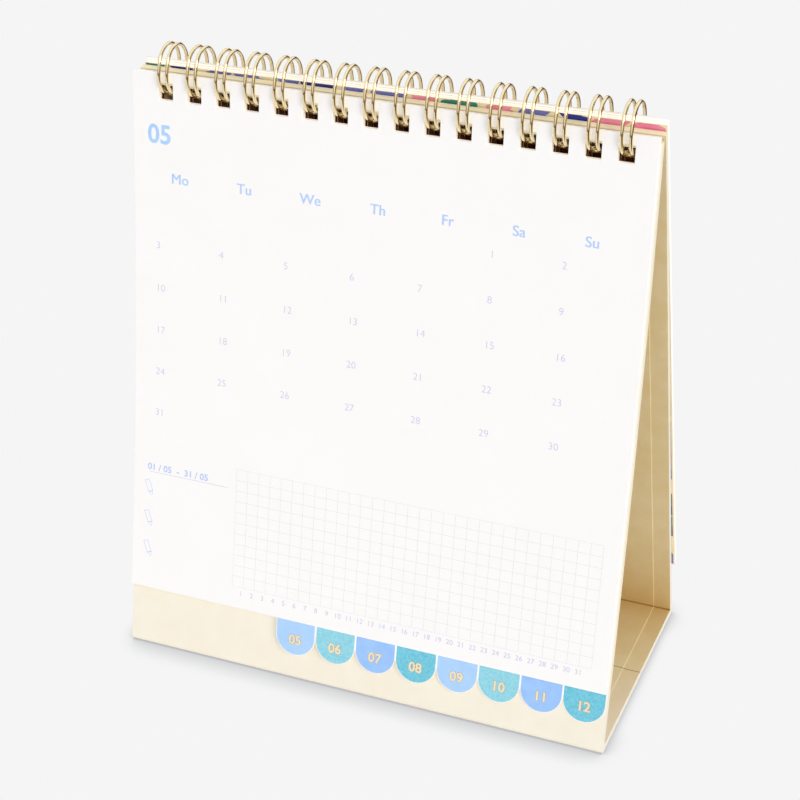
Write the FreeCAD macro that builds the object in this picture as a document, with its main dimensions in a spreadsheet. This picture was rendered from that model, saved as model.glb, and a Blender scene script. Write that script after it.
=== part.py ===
import FreeCAD, Part
import math
import os
import Sketcher
from FreeCAD import Placement, Rotation, Vector

# Desk calendar: a folding stand of wrapped greyboard, thirteen loose leaves on a twin-loop
# wire, eight of them in front and five turned over to the back.
#
# Axes: +Z up, +X to the reader's right, the reader looks along +Y. The origin is the middle of
# the stand's footprint. All sizes are in millimetres and kept in the sheet "sizes".
# "Depth" is measured from a panel's outer face towards the inside of the stand, and
# "height" on a panel or leaf runs up its slope from the fold at the floor.

MONTHS = ["january", "february", "march", "april", "may", "june", "july", "august",
          "september", "october", "november", "december"]
TURNED_MONTHS = 4
last = len(MONTHS) - 1

SIZES = [
    ("panel_width", 145.4, "width of the stand"),
    ("base_depth", 70.4, "front fold to back fold, on the floor"),
    ("lean_angle", 11.2, "lean of both panels from upright, degrees"),
    ("panel_slant", 170.0, "chord that the front panel's bow is measured on"),
    ("bow_radius", 1350.0, "radius of the front panel's gentle inward bow"),
    ("front_height", 168.4, "front panel, up its slope"),
    ("back_height", 169.5, "back panel, up its slope"),
    ("crease_place", 1.0, "the base's middle crease, behind the middle"),
    ("board_thick", 1.4, "greyboard"),
    ("wrap_thick", 0.25, "outer paper, glued round the boards"),
    ("lining_thick", 0.2, "inner paper"),
    ("lining_margin", 5.0, "from a panel's edge to the lining's edge"),
    ("turn_in", 12.0, "width of the outer paper folded over to the inside"),
    ("fold_radius", 1.2, "outside of the two folds at the floor"),
    ("fold_gutter", 3.4, "corner left free of board at each fold"),
    ("crease_gutter", 0.8, "half the gap between the two base boards"),
    ("leaf_width", 144.8, "leaf"),
    ("leaf_low", 18.7, "height of a leaf's lower edge on the front panel"),
    ("leaf_high", 170.0, "height of a leaf's upper edge on the front panel"),
    ("leaf_thick", 0.18, "page card"),
    ("leaf_pitch", 0.205, "from one leaf of the front stack to the next"),
    ("first_gap", 0.1, "between the front panel and the last month's leaf"),
    ("front_leaf_gap", 0.2, "behind the leaf in front, which turns by itself"),
    ("tab_height", 10.3, "index tab, below the leaf"),
    ("tab_width", 12.2, "index tab; January's is what is left of the leaf's width"),
    ("hole_wide", 4.5, "hole for the wire, in leaves and panels"),
    ("hole_high", 4.8, "the same, its height in a leaf"),
    ("board_hole_high", 5.0, "the same, its height in a panel"),
    ("leaf_hole", 165.1, "height of the holes' centres in a leaf"),
    ("front_hole", 163.85, "height of the holes' centres in the front panel"),
    ("back_hole", 164.4, "height of the holes' centres in the back panel"),
    ("loop_count", 16, "pairs of wire loops"),
    ("loop_pitch", 25.4 / 3, "three pairs to the inch"),
    ("row_offset", 0.9, "the punched row and its wire, right of the middle"),
    ("wire_thick", 1.0, "wire diameter"),
    ("ring_radius", 5.4, "the loop's two half circles, to the middle of the wire"),
    ("ring_straight", 2.4, "straight stretch between the loop's two half circles"),
    ("ring_tilt", 18, "lean of the loop's long way to the back, degrees"),
    ("ring_back", 0.35, "the loops' axis, behind the middle of the stand"),
    ("ring_high", 166.95, "the loops' axis above the floor"),
    ("pair_gap", 2.4, "between the two wires of a pair, middle to middle"),
    ("elbow_radius", 1.0, "bend from a loop into the bar between two pairs"),
    ("tip_angle", 263.5, "where the loops end in a rounded tip, degrees round the loop"),
    ("bar_angle", 301.5, "where the loops start at the bars, degrees round the loop"),
    ("cover_thick", 0.3, "cover card"),
    ("cover_distance", 2.1, "turned cover, from the loops' axis"),
    ("turned_distance", 2.2, "turned leaves stand this far from the axis, plus a step each"),
    ("turned_step", 0.4, "step from one turned leaf to the next"),
    ("turned_tilt", 0.45, "the turned leaves hang askew on the wire, right side up, degrees"),
    ("fan_angle", 0.04, "each turned leaf stands this much steeper than the one before"),
    ("rise_cover", -0.1, "upper edge of the cover above the square from the loops' axis"),
    ("rise_january", -0.44, "the same, for January"),
    ("rise_february", -0.1, "the same, for February"),
    ("rise_march", 0.32, "the same, for March"),
    ("rise_april", 0.84, "the same, for April"),
]

doc = FreeCAD.newDocument("desk_calendar")
sheet = doc.addObject("Spreadsheet::Sheet", "sizes")
for row, (alias, value, note) in enumerate(SIZES, start=1):
    sheet.set(f"A{row}", note)
    sheet.set(f"B{row}", str(value))
    sheet.setAlias(f"B{row}", alias)
doc.recompute()


def size(alias):
    """Read a driving size back from the sheet."""
    return float(sheet.get(alias))


def bind(item, **expressions):
    """Bind properties to the sheet. A double underscore stands for the dot in a path."""
    for path, expression in expressions.items():
        item.setExpression(path.replace("__", "."), expression)
    return item


def add(kind, name, **properties):
    item = doc.addObject(kind, name)
    for key, value in properties.items():
        setattr(item, key, value)
    return item


def box(name, x, y, z):
    """A box from (start, length) pairs of expressions."""
    item = add("Part::Box", name)
    bind(item, Length=x[1], Width=y[1], Height=z[1])
    bind(item, Placement__Base__x=x[0], Placement__Base__y=y[0], Placement__Base__z=z[0])
    return item


def fuse(name, shapes):
    return add("Part::MultiFuse", name, Shapes=shapes)


def cut(name, base, tool):
    return add("Part::Cut", name, Base=base, Tool=tool)


def common(name, base, tool):
    return add("Part::Common", name, Base=base, Tool=tool)


sub_parts = []


def sub_part(item, label):
    """Give a finished piece the name of its file."""
    item.Label = label
    sub_parts.append(item)
    return item


# ---- The leaning frames of the two panels ----------------------------------------------------

ALONG_X = Vector(1, 0, 0)
lean = size("lean_angle")
half_base = size("base_depth") / 2


def lean_front(item):
    """Stand a piece that was made upright on the front fold."""
    item.Placement = Placement(Vector(0, -half_base, 0), Rotation(-ALONG_X, lean))
    bind(item, Placement__Base__y="-sizes.base_depth / 2",
         Placement__Rotation__Angle="sizes.lean_angle")
    return item


def lean_back(item):
    """Stand a piece that was made upright on the back fold."""
    item.Placement = Placement(Vector(0, half_base, 0), Rotation(ALONG_X, lean))
    bind(item, Placement__Base__y="sizes.base_depth / 2",
         Placement__Rotation__Angle="sizes.lean_angle")
    return item


# The front panel bows inwards on an arc whose centre is far out in front. Upright, the arc
# passes through heights 0 and panel_slant of the frame's Z axis.
bow_radius = size("bow_radius")
middle = size("panel_slant") / 2
bow_depth = bow_radius - math.sqrt(bow_radius ** 2 - middle ** 2)
bow_centre = Vector(0, bow_depth - bow_radius, middle)
front_frame = Placement(Vector(0, -half_base, 0), Rotation(-ALONG_X, lean))
world_centre = front_frame.multVec(bow_centre)

# ---- Sections through the stand --------------------------------------------------------------


def front_point(depth, height):
    """A point of the bowed front panel, in the plane X = 0."""
    turn = (height - middle) / bow_radius
    reach = bow_radius + depth
    upright = bow_centre + Vector(0, reach * math.cos(turn), reach * math.sin(turn))
    return front_frame.multVec(upright)


def front_corner(depth):
    """Where the front panel meets the base, both at the same depth."""
    rise = depth - world_centre.z
    reach = math.sqrt((bow_radius + depth) ** 2 - rise ** 2)
    return Vector(0, world_centre.y + reach, depth)


def back_point(depth, height):
    frame = Placement(Vector(0, half_base, 0), Rotation(ALONG_X, lean))
    return frame.multVec(Vector(0, -depth, height))


def back_corner(depth):
    low = back_point(depth, 0)
    high = back_point(depth, 1)
    steps = (depth - low.z) / (high.z - low.z)
    return low + (high - low) * steps


def bowed_edge(start, end):
    """An arc of the bow between two points that lie at one depth."""
    reach = (start - world_centre).Length
    half_way = (start + end) * 0.5 - world_centre
    return Part.Arc(start, world_centre + half_way * (reach / half_way.Length), end).toShape()


def band(name, outer, inner, front_top, back_top, width, fold_radius=0):
    """A layer that runs down the front panel, under the base and up the back panel.

    It fills the stand's section between two depths and is width wide."""
    path = [
        bowed_edge(front_point(outer, front_top), front_corner(outer)),
        Part.makeLine(front_corner(outer), back_corner(outer)),
        Part.makeLine(back_corner(outer), back_point(outer, back_top)),
        Part.makeLine(back_point(outer, back_top), back_point(inner, back_top)),
        Part.makeLine(back_point(inner, back_top), back_corner(inner)),
        Part.makeLine(back_corner(inner), front_corner(inner)),
        bowed_edge(front_corner(inner), front_point(inner, front_top)),
        Part.makeLine(front_point(inner, front_top), front_point(outer, front_top)),
    ]
    section = Part.Face(Part.Wire(path))
    section.translate(Vector(-width / 2, 0, 0))
    solid = section.extrude(Vector(width, 0, 0))
    if fold_radius:
        folds = [front_corner(outer), back_corner(outer)]
        edges = [edge for edge in solid.Edges if edge.Length > width - 1 and
                 any(abs(edge.CenterOfMass.y - fold.y) + abs(edge.CenterOfMass.z - fold.z) < 0.01
                     for fold in folds)]
        solid = solid.makeFillet(fold_radius, edges)
    item = add("Part::Feature", name)
    item.Shape = solid
    return item


# ---- Punches for the square holes ------------------------------------------------------------


def punch(name, height_alias, hole_height_alias):
    """A row of square bars along Y, patterned at the wire's pitch."""
    body = add("PartDesign::Body", name)
    plane = next(feature for feature in body.Origin.OriginFeatures
                 if feature.Role == "XZ_Plane")
    sketch = body.newObject("Sketcher::SketchObject", name + "_outline")
    sketch.AttachmentSupport = [(plane, "")]
    sketch.MapMode = "FlatFace"
    corners = [Vector(-1, -1, 0), Vector(1, -1, 0), Vector(1, 1, 0), Vector(-1, 1, 0)]
    for start, end in zip(corners, corners[1:] + corners[:1]):
        sketch.addGeometry(Part.LineSegment(start, end))
    for side in range(4):
        sketch.addConstraint(Sketcher.Constraint("Coincident", side, 2, (side + 1) % 4, 1))
    for side, direction in enumerate(["Horizontal", "Vertical", "Horizontal", "Vertical"]):
        sketch.addConstraint(Sketcher.Constraint(direction, side))
    across = sketch.addConstraint(Sketcher.Constraint("DistanceX", 0, 1, 0, 2, 2))
    tall = sketch.addConstraint(Sketcher.Constraint("DistanceY", 1, 1, 1, 2, 2))
    left = sketch.addConstraint(Sketcher.Constraint("DistanceX", 0, 1, -1, 1, 1))
    low = sketch.addConstraint(Sketcher.Constraint("DistanceY", -1, 1, 0, 1, 1))
    first = "(sizes.loop_count - 1) / 2 * sizes.loop_pitch - sizes.row_offset"
    sketch.setExpression(f"Constraints[{across}]", "sizes.hole_wide")
    sketch.setExpression(f"Constraints[{tall}]", f"sizes.{hole_height_alias}")
    sketch.setExpression(f"Constraints[{left}]", f"{first} + sizes.hole_wide / 2")
    sketch.setExpression(f"Constraints[{low}]",
                         f"sizes.{height_alias} - sizes.{hole_height_alias} / 2")
    bar = body.newObject("PartDesign::Pad", name + "_bar")
    bar.Profile = sketch
    bar.SideType = "Symmetric"
    bar.Length = 60
    row = body.newObject("PartDesign::LinearPattern", name + "_row")
    row.Originals = [bar]
    row.Direction = (sketch, ["H_Axis"])
    bind(row, Length="(sizes.loop_count - 1) * sizes.loop_pitch", Occurrences="sizes.loop_count")
    body.Tip = row
    return body


leaf_punch = punch("leaf_punch", "leaf_hole", "hole_high")
front_punch = lean_front(punch("front_punch", "front_hole", "board_hole_high"))
back_punch = lean_back(punch("back_punch", "back_hole", "board_hole_high"))

# ---- Stand: outer paper, four boards, lining -------------------------------------------------

wrap = size("wrap_thick")
board = size("board_thick")
width = size("panel_width")
front_top = size("front_height")
back_top = size("back_height")
turn_in = size("turn_in")
margin = size("lining_margin")
skin = wrap + board + wrap

envelope = band("envelope", 0, skin, front_top, back_top, width, size("fold_radius"))
pocket = band("board_pocket", wrap, wrap + board, front_top - wrap, back_top - wrap,
              width - 2 * wrap, size("fold_radius") - wrap)
window = band("turn_in_window", wrap + board, skin + 1, front_top - turn_in,
              back_top - turn_in, width - 2 * turn_in)
hollow = fuse("wrap_hollow", [pocket, window, front_punch, back_punch])
sub_part(cut("outer_paper_shape", envelope, hollow), "outer_paper")

lining_sheet = band("lining_sheet", skin, skin + size("lining_thick"), front_top - margin,
                    back_top - margin, width - 2 * margin)
panel_holes = fuse("panel_holes", [front_punch, back_punch])
sub_part(cut("lining_shape", lining_sheet, panel_holes), "lining_paper")

across = ("-sizes.panel_width", "2 * sizes.panel_width")
upright = ("sizes.fold_gutter", "2 * sizes.panel_slant")
lying = ("0", "sizes.fold_gutter")
front_zone = box("front_zone", across, ("-sizes.base_depth", "sizes.base_depth"), upright)
back_zone = box("back_zone", across, ("0", "sizes.base_depth"), upright)
base_front_zone = box("base_front_zone", across,
                      ("-sizes.base_depth / 2 + sizes.fold_gutter",
                       "sizes.base_depth / 2 + sizes.crease_place - sizes.crease_gutter"
                       " - sizes.fold_gutter"), lying)
base_back_zone = box("base_back_zone", across,
                     ("sizes.crease_place + sizes.crease_gutter",
                      "sizes.base_depth / 2 - sizes.crease_place - sizes.crease_gutter"
                      " - sizes.fold_gutter"), lying)
sub_part(cut("front_board_shape", common("front_blank", pocket, front_zone), front_punch),
         "front_board")
sub_part(cut("back_board_shape", common("back_blank", pocket, back_zone), back_punch),
         "back_board")
sub_part(common("base_front_shape", pocket, base_front_zone), "base_front_board")
sub_part(common("base_back_shape", pocket, base_back_zone), "base_back_board")

# ---- Leaves ----------------------------------------------------------------------------------


def leaf_outline(name, month, low, thick):
    """A leaf seen from the front, with its index tab, as thick as (low, thick) says along Y."""
    page = box(name + "_page", ("-sizes.leaf_width / 2", "sizes.leaf_width"), (low, thick),
               ("sizes.leaf_low", "sizes.leaf_high - sizes.leaf_low"))
    if month is None:
        return page
    right = f"(sizes.leaf_width / 2 - {last - month} * sizes.tab_width)"
    tab = "sizes.tab_width" if month else f"({right} + sizes.leaf_width / 2)"
    round_high = f"sizes.leaf_low - sizes.tab_height + {tab} / 2"
    straight = box(name + "_tab", (f"{right} - {tab}", tab), (low, thick),
                   (round_high, f"sizes.tab_height - {tab} / 2 + 1"))
    end = add("Part::Cylinder", name + "_tab_end")
    bind(end, Radius=f"{tab} / 2", Height=thick)
    end.Placement = Placement(Vector(), Rotation(ALONG_X, -90))
    bind(end, Placement__Base__x=f"{right} - {tab} / 2", Placement__Base__y=low,
         Placement__Base__z=round_high)
    return fuse(name + "_outline", [page, straight, end])


def bowed_sheet(name, gap, thick):
    """A sheet that follows the front panel's bow, gap in front of it."""
    spare = 10.0
    start = math.degrees(-(middle + spare) / bow_radius)
    shapes = []
    for part, radius in (("_far", gap), ("_near", f"{gap} + {thick}")):
        sector = add("Part::Cylinder", name + part)
        bind(sector, Radius=f"sizes.bow_radius - ({radius})", Height="sizes.panel_width")
        sector.Angle = math.degrees(2 * (middle + spare) / bow_radius)
        turn = Rotation(ALONG_X, start) * Rotation(Vector(1, 1, 1), 120)
        sector.Placement = Placement(bow_centre - Vector(width / 2, 0, 0), turn)
        shapes.append(sector)
    return cut(name + "_sheet", shapes[0], shapes[1])


def front_leaf(month, gap):
    """A leaf that hangs in front, with the bow of the panel behind it."""
    name = "leaf_" + MONTHS[month]
    sheet_shape = bowed_sheet(name, gap, "sizes.leaf_thick")
    outline = leaf_outline(name, month, "-20", "40")
    blank = common(name + "_blank", sheet_shape, outline)
    leaf = lean_front(cut(name + "_shape", blank, leaf_punch))
    return sub_part(leaf, f"leaf_{month + 1:02d}_{MONTHS[month]}")


def turned_leaf(name, month, order, distance, thick):
    """A leaf that was turned over the wire, flat, behind the back panel.

    It is made upright, tilted about the middle of its holes, and leant about the loops' axis."""
    outline = leaf_outline(name, month, "0", thick)
    leaf = cut(name + "_shape", outline, leaf_punch)
    stand_up = Rotation(ALONG_X, lean - (order + 1) * size("fan_angle"))
    turn = stand_up * Rotation(Vector(0, -1, 0), size("turned_tilt"))
    middle_hole = Vector(size("row_offset"), 0, size("leaf_hole"))
    hang = Vector(size("row_offset"), distance,
                  size("rise_" + name) - size("leaf_high") + size("leaf_hole"))
    axis = Vector(0, size("ring_back"), size("ring_high"))
    leaf.Placement = Placement(axis + stand_up * hang - turn * middle_hole, turn)
    return leaf


for month in range(last, TURNED_MONTHS, -1):
    front_leaf(month, f"sizes.first_gap + {last - month} * sizes.leaf_pitch")
front_leaf(TURNED_MONTHS, f"sizes.first_gap + {last - TURNED_MONTHS - 1} * sizes.leaf_pitch"
           " + sizes.leaf_thick + sizes.front_leaf_gap")

cover = turned_leaf("cover", None, 0, size("cover_distance"), "sizes.cover_thick")
sub_part(cover, "cover_leaf")
for month in range(TURNED_MONTHS):
    name = MONTHS[month]
    distance = size("turned_distance") + (month + 1) * size("turned_step")
    leaf = turned_leaf(name, month, month + 1, distance, "sizes.leaf_thick")
    sub_part(leaf, f"leaf_{month + 1:02d}_{name}")

# ---- Twin-loop wire --------------------------------------------------------------------------


def on_ring(x, angle, upper=False):
    """A point of the loop in the plane X = x. The angle grows from the back to the top.

    The loop is two half circles a short way apart, the upper one further back."""
    reach = size("ring_radius")
    tilt = math.radians(size("ring_tilt"))
    turn = math.radians(angle) - tilt
    apart = size("ring_straight") / 2 * (1 if upper else -1)
    return Vector(x, size("ring_back") + reach * math.cos(turn) + apart * math.sin(tilt),
                  size("ring_high") + reach * math.sin(turn) + apart * math.cos(tilt))


def along_ring(angle):
    """The direction of growing angle."""
    turn = math.radians(angle - size("ring_tilt"))
    return Vector(0, -math.sin(turn), math.cos(turn))


def loop(x, tip, foot):
    """The edges of one loop, from its foot at the bars to its tip in front."""
    return [
        Part.Arc(on_ring(x, foot), on_ring(x, foot / 2), on_ring(x, 0)).toShape(),
        Part.makeLine(on_ring(x, 0), on_ring(x, 0, True)),
        Part.Arc(on_ring(x, 0, True), on_ring(x, 90, True), on_ring(x, 180, True)).toShape(),
        Part.makeLine(on_ring(x, 180, True), on_ring(x, 180)),
        Part.Arc(on_ring(x, 180), on_ring(x, (180 + tip) / 2), on_ring(x, tip)).toShape(),
    ]


def bend(start, end, start_way, radius, quarter):
    """An arc that leaves start along start_way and ends at end.

    A quarter turn ends square to start_way, and otherwise it is half a circle."""
    across_way = (end - start)
    across_way = across_way - start_way * across_way.dot(start_way)
    across_way.normalize()
    centre = start + across_way * radius
    turn = math.radians(45 if quarter else 90)
    crown = centre - across_way * (radius * math.cos(turn)) + start_way * (radius * math.sin(turn))
    return Part.Arc(start, crown, end).toShape()


def wire_path():
    """The wire's centre line: up one loop, round its tip, down the next, and along the bar."""
    half_gap = size("pair_gap") / 2
    elbow = size("elbow_radius")
    tip = size("tip_angle")
    foot = size("bar_angle") - 360
    to_tip = along_ring(tip)
    to_bar = along_ring(foot) * -1
    pairs = int(size("loop_count"))
    pitch = size("loop_pitch")
    edges = []
    for pair in range(pairs):
        centre = size("row_offset") + (pair - (pairs - 1) / 2) * pitch
        left, right = centre - half_gap, centre + half_gap
        edges += loop(left, tip, foot)
        edges.append(bend(on_ring(left, tip), on_ring(right, tip), to_tip, half_gap, False))
        edges += reversed(loop(right, tip, foot))
        if pair == pairs - 1:
            break
        bar_start = on_ring(right + elbow, foot) + to_bar * elbow
        bar_end = on_ring(left + pitch - elbow, foot) + to_bar * elbow
        edges.append(bend(on_ring(right, foot), bar_start, to_bar, elbow, True))
        edges.append(Part.makeLine(bar_start, bar_end))
        edges.append(bend(on_ring(left + pitch, foot), bar_end, to_bar, elbow, True))
    return Part.Wire(edges)


path = wire_path()
start = path.OrderedVertexes[0].Point
section = Part.Wire(Part.makeCircle(size("wire_thick") / 2, start,
                                    along_ring(size("bar_angle") - 360)))
wire = add("Part::Feature", "binding_wire_shape")
wire.Shape = path.makePipeShell([section], True, False)
wire.Placement = Placement()
sub_part(wire, "binding_wire")
wire_section = math.pi * (size("wire_thick") / 2) ** 2
print(f"wire: {path.Length:.1f} mm long, volume {wire.Shape.Volume:.1f}, "
      f"section times length {wire_section * path.Length:.1f}")

# ---- Check and export ------------------------------------------------------------------------

doc.recompute()
for item in doc.Objects:
    if "Invalid" in item.State or "Error" in item.State:
        raise RuntimeError(f"{item.Label} failed: {item.State}")
for item in sub_parts:
    if item.Shape.isNull() or not item.Shape.isValid():
        raise RuntimeError(f"{item.Label} has no valid shape")
    if len(item.Shape.Solids) != 1:
        raise RuntimeError(f"{item.Label} has {len(item.Shape.Solids)} solids")

os.makedirs("parts", exist_ok=True)
for item in sub_parts:
    item.Shape.exportStep(f"parts/{item.Label}.step")
    limits = item.Shape.BoundBox
    print(f"{item.Label}: volume {item.Shape.Volume:.0f}, "
          f"y {limits.YMin:.2f} to {limits.YMax:.2f}, z {limits.ZMin:.2f} to {limits.ZMax:.2f}")
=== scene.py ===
import math
import random

import bmesh
import bpy
from mathutils import Matrix, Vector


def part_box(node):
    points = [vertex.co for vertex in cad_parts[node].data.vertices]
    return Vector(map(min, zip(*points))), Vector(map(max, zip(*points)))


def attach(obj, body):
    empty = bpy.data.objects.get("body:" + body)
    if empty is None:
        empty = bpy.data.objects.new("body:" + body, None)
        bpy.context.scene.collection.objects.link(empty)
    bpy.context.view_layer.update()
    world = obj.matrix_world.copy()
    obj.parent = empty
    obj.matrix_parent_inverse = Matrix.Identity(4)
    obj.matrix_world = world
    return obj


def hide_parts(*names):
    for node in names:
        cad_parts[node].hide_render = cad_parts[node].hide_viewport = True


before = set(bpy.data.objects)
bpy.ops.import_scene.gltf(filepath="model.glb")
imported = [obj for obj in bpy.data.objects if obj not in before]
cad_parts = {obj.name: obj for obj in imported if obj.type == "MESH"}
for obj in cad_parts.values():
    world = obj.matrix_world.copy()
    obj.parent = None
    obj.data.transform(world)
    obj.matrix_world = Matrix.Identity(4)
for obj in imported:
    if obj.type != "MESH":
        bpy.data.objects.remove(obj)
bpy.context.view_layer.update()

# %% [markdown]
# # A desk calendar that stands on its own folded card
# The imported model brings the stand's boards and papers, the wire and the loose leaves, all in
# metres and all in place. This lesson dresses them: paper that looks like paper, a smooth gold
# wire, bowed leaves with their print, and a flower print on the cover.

MM = 0.001

# %% [markdown]
# ## The shape that everything follows
# The front panel leans back and bows gently inwards, like any tall sheet of card that is
# pinched at its top, and the leaves in front of it take the same bow. One function says where a
# point of that curved front is. It takes a place across the page, a height up the page, and how
# far the point stands proud of the panel. All print is drawn flat in those terms, and bent
# last.

# %% Sizes of the stand
LEAN = math.radians(11.2)
HALF_BASE = 35.2 * MM
SLANT = 170.0 * MM
BOW_RADIUS = 1350.0 * MM
CREASE_PLACE = 1.0 * MM
WRAP_DEPTH = 1.9 * MM
LINING_DEPTH = 2.1 * MM
BOW_DEPTH = BOW_RADIUS - math.sqrt(BOW_RADIUS ** 2 - (SLANT / 2) ** 2)


def lean_point(x, y, z, side):
    """Tip a point of an upright panel over the fold at its foot, and move it to that fold.

    side is -1 for the front fold and +1 for the back fold."""
    turned = Matrix.Rotation(side * LEAN, 3, "X") @ Vector((x, y, z))
    return turned + Vector((0, side * HALF_BASE, 0))


def on_front(x, height, proud):
    """A point that stands proud of the bowed front panel, towards the reader."""
    turn = (height - SLANT / 2) / BOW_RADIUS
    reach = BOW_RADIUS - proud
    y = BOW_DEPTH - BOW_RADIUS + reach * math.cos(turn)
    return lean_point(x, y, SLANT / 2 + reach * math.sin(turn), -1)


print("bow of the front panel:", round(BOW_DEPTH / MM, 2), "mm")

# %% [markdown]
# ## Where each leaf hangs
# Eight leaves hang in front, one behind the other, and the rest were turned over the wire and
# hang behind the stand. Each leaf gets a place function of its own, so that the same drawing
# code can print any of them. The leaf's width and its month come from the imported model's nodes.

# %% Sizes of the leaves
LEAF_LOW = 18.7 * MM
LEAF_HIGH = 170.0 * MM
LEAF_THICK = 0.18 * MM
LEAF_PITCH = 0.205 * MM
FIRST_GAP = 0.1 * MM
FRONT_LEAF_GAP = 0.2 * MM
TAB_WIDTH = 12.2 * MM
TAB_HEIGHT = 10.3 * MM
HOLE_WIDE = 4.5 * MM
HOLE_HIGH = 4.8 * MM
HOLE_HEIGHT = 165.1 * MM
PAIRS = 16
PAIR_PITCH = 25.4 * MM / 3
ROW_OFFSET = 0.9 * MM
MONTHS = ["january", "february", "march", "april", "may", "june", "july", "august",
          "september", "october", "november", "december"]
NODES = {month: f"leaf_{month:02d}_{name}" for month, name in enumerate(MONTHS, start=1)}
LAST_MONTH = len(MONTHS)
LAST_TURNED = 4
may_low, may_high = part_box(NODES[5])
HALF_WIDTH = (may_high[0] - may_low[0]) / 2
print("leaf width:", round(2 * HALF_WIDTH / MM, 2), "mm")

# %% Sizes of the leaves at the back
RING_CENTRE = Vector((0, 0.35 * MM, 166.95 * MM))
FAN_ANGLE = math.radians(0.04)
ASKEW = math.radians(0.45)
COVER_DISTANCE = 2.1 * MM
COVER_THICK = 0.3 * MM
TURNED_DISTANCE = 2.2 * MM
TURNED_STEP = 0.4 * MM
RISE = {0: -0.1 * MM, 1: -0.44 * MM, 2: -0.1 * MM, 3: 0.32 * MM, 4: 0.84 * MM}


def front_face(month):
    """Place function for the printed face of a leaf in front."""
    proud_of_panel = FIRST_GAP + (LAST_MONTH - month) * LEAF_PITCH + LEAF_THICK
    if month == LAST_TURNED + 1:
        proud_of_panel += LEAF_THICK + FRONT_LEAF_GAP - LEAF_PITCH
    return lambda x, height, proud: on_front(x, height, proud_of_panel + proud)


def turned_face(order, from_behind=False):
    """Place function for a face of a turned leaf. Order 0 is the cover, 1 to 4 the months.

    The printed face looks at the stand. Seen from behind, the other face runs the other way."""
    distance = TURNED_DISTANCE + order * TURNED_STEP if order else COVER_DISTANCE
    thick = LEAF_THICK if order else COVER_THICK
    stand_up = Matrix.Rotation(LEAN - (order + 1) * FAN_ANGLE, 3, "X")
    askew = Matrix.Rotation(-ASKEW, 3, "Y")
    middle_hole = Vector((ROW_OFFSET, 0, HOLE_HEIGHT))
    hang = Vector((ROW_OFFSET, distance, RISE[order] - LEAF_HIGH + HOLE_HEIGHT))

    def place(x, height, proud):
        point = (-x, thick + proud, height) if from_behind else (x, -proud, height)
        return RING_CENTRE + stand_up @ (hang + askew @ (Vector(point) - middle_hole))

    return place


def tab_span(month):
    """Left and right edge of a month's index tab. January has what is left of the width."""
    right = HALF_WIDTH - (LAST_MONTH - month) * TAB_WIDTH
    return max(right - TAB_WIDTH, -HALF_WIDTH), right


def body_of(month):
    """The front leaf and the last turned leaf move by themselves."""
    return {LAST_TURNED + 1: "front_leaf", LAST_TURNED: "back_leaf"}.get(month, "stand")


# %% [markdown]
# ## Flat drawing, bent last
# Every printed thing starts as a flat mesh, where x runs across the page and y up the page.
# Blender's curve fill makes text and cut-out outlines into such meshes. The mesh is then cut
# into short bands, because a long triangle can't follow a bow, and only then is each point put
# where the place function says. The bands are 4 mm high, which leaves the bow smooth. A
# capital letter of the built-in font is 0.73 of the font's size.

# %% Making flat meshes
BAND = 4.0 * MM
CAPITAL_SHARE = 0.73
TAB_STEPS = 24


def outline_mesh(outlines):
    """A flat filled mesh from closed outlines. An outline inside another one is a hole."""
    curve = bpy.data.curves.new("flat", "CURVE")
    curve.dimensions = "2D"
    curve.fill_mode = "BOTH"
    for points in outlines:
        spline = curve.splines.new("POLY")
        spline.points.add(len(points) - 1)
        for point, (x, y) in zip(spline.points, points):
            point.co = (x, y, 0, 1)
        spline.use_cyclic_u = True
    return filled(curve)


def filled(curve):
    """The mesh that a flat curve or a text fills, as a bmesh. The curve is thrown away."""
    holder = bpy.data.objects.new("flat", curve)
    mesh = bpy.data.meshes.new_from_object(holder)
    flat = bmesh.new()
    flat.from_mesh(mesh)
    bpy.data.objects.remove(holder)
    bpy.data.meshes.remove(mesh)
    bmesh.ops.remove_doubles(flat, verts=flat.verts, dist=MM / 1000)
    return flat


def words(text, x, y, capital, align="CENTER", weight=0.0):
    """Flat lettering. capital is a capital letter's height, weight thickens the strokes."""
    font = bpy.data.curves.new("text", "FONT")
    font.body = text
    font.size = capital / CAPITAL_SHARE
    font.align_x = align
    font.offset = weight
    font.resolution_u = 4
    flat = filled(font)
    bmesh.ops.translate(flat, verts=flat.verts, vec=(x, y, 0))
    return flat


def rectangle(left, right, low, high):
    return [(left, low), (right, low), (right, high), (left, high)]


def tab_outline(month, inset=0.0, high=LEAF_LOW):
    """A tab's outline: two straight sides and half a circle below."""
    left, right = tab_span(month)
    left += inset
    right -= inset
    radius = (right - left) / 2
    low = LEAF_LOW - TAB_HEIGHT + inset
    points = [(right, high), (left, high)]
    for step in range(TAB_STEPS + 1):
        turn = math.pi * (1 + step / TAB_STEPS)
        points.append(((left + right) / 2 + radius * math.cos(turn),
                       low + radius + radius * math.sin(turn)))
    return points


def holes():
    """The sixteen holes, nearly square."""
    for pair in range(PAIRS):
        x = ROW_OFFSET + (pair - (PAIRS - 1) / 2) * PAIR_PITCH
        yield rectangle(x - HOLE_WIDE / 2, x + HOLE_WIDE / 2,
                        HOLE_HEIGHT - HOLE_HIGH / 2, HOLE_HEIGHT + HOLE_HIGH / 2)


# %% Bending flat meshes and keeping them as pieces


def bisect(shape, point, normal, **options):
    """Cut a bmesh along a plane."""
    parts = shape.verts[:] + shape.edges[:] + shape.faces[:]
    bmesh.ops.bisect_plane(shape, geom=parts, plane_co=point, plane_no=normal, **options)


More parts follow.
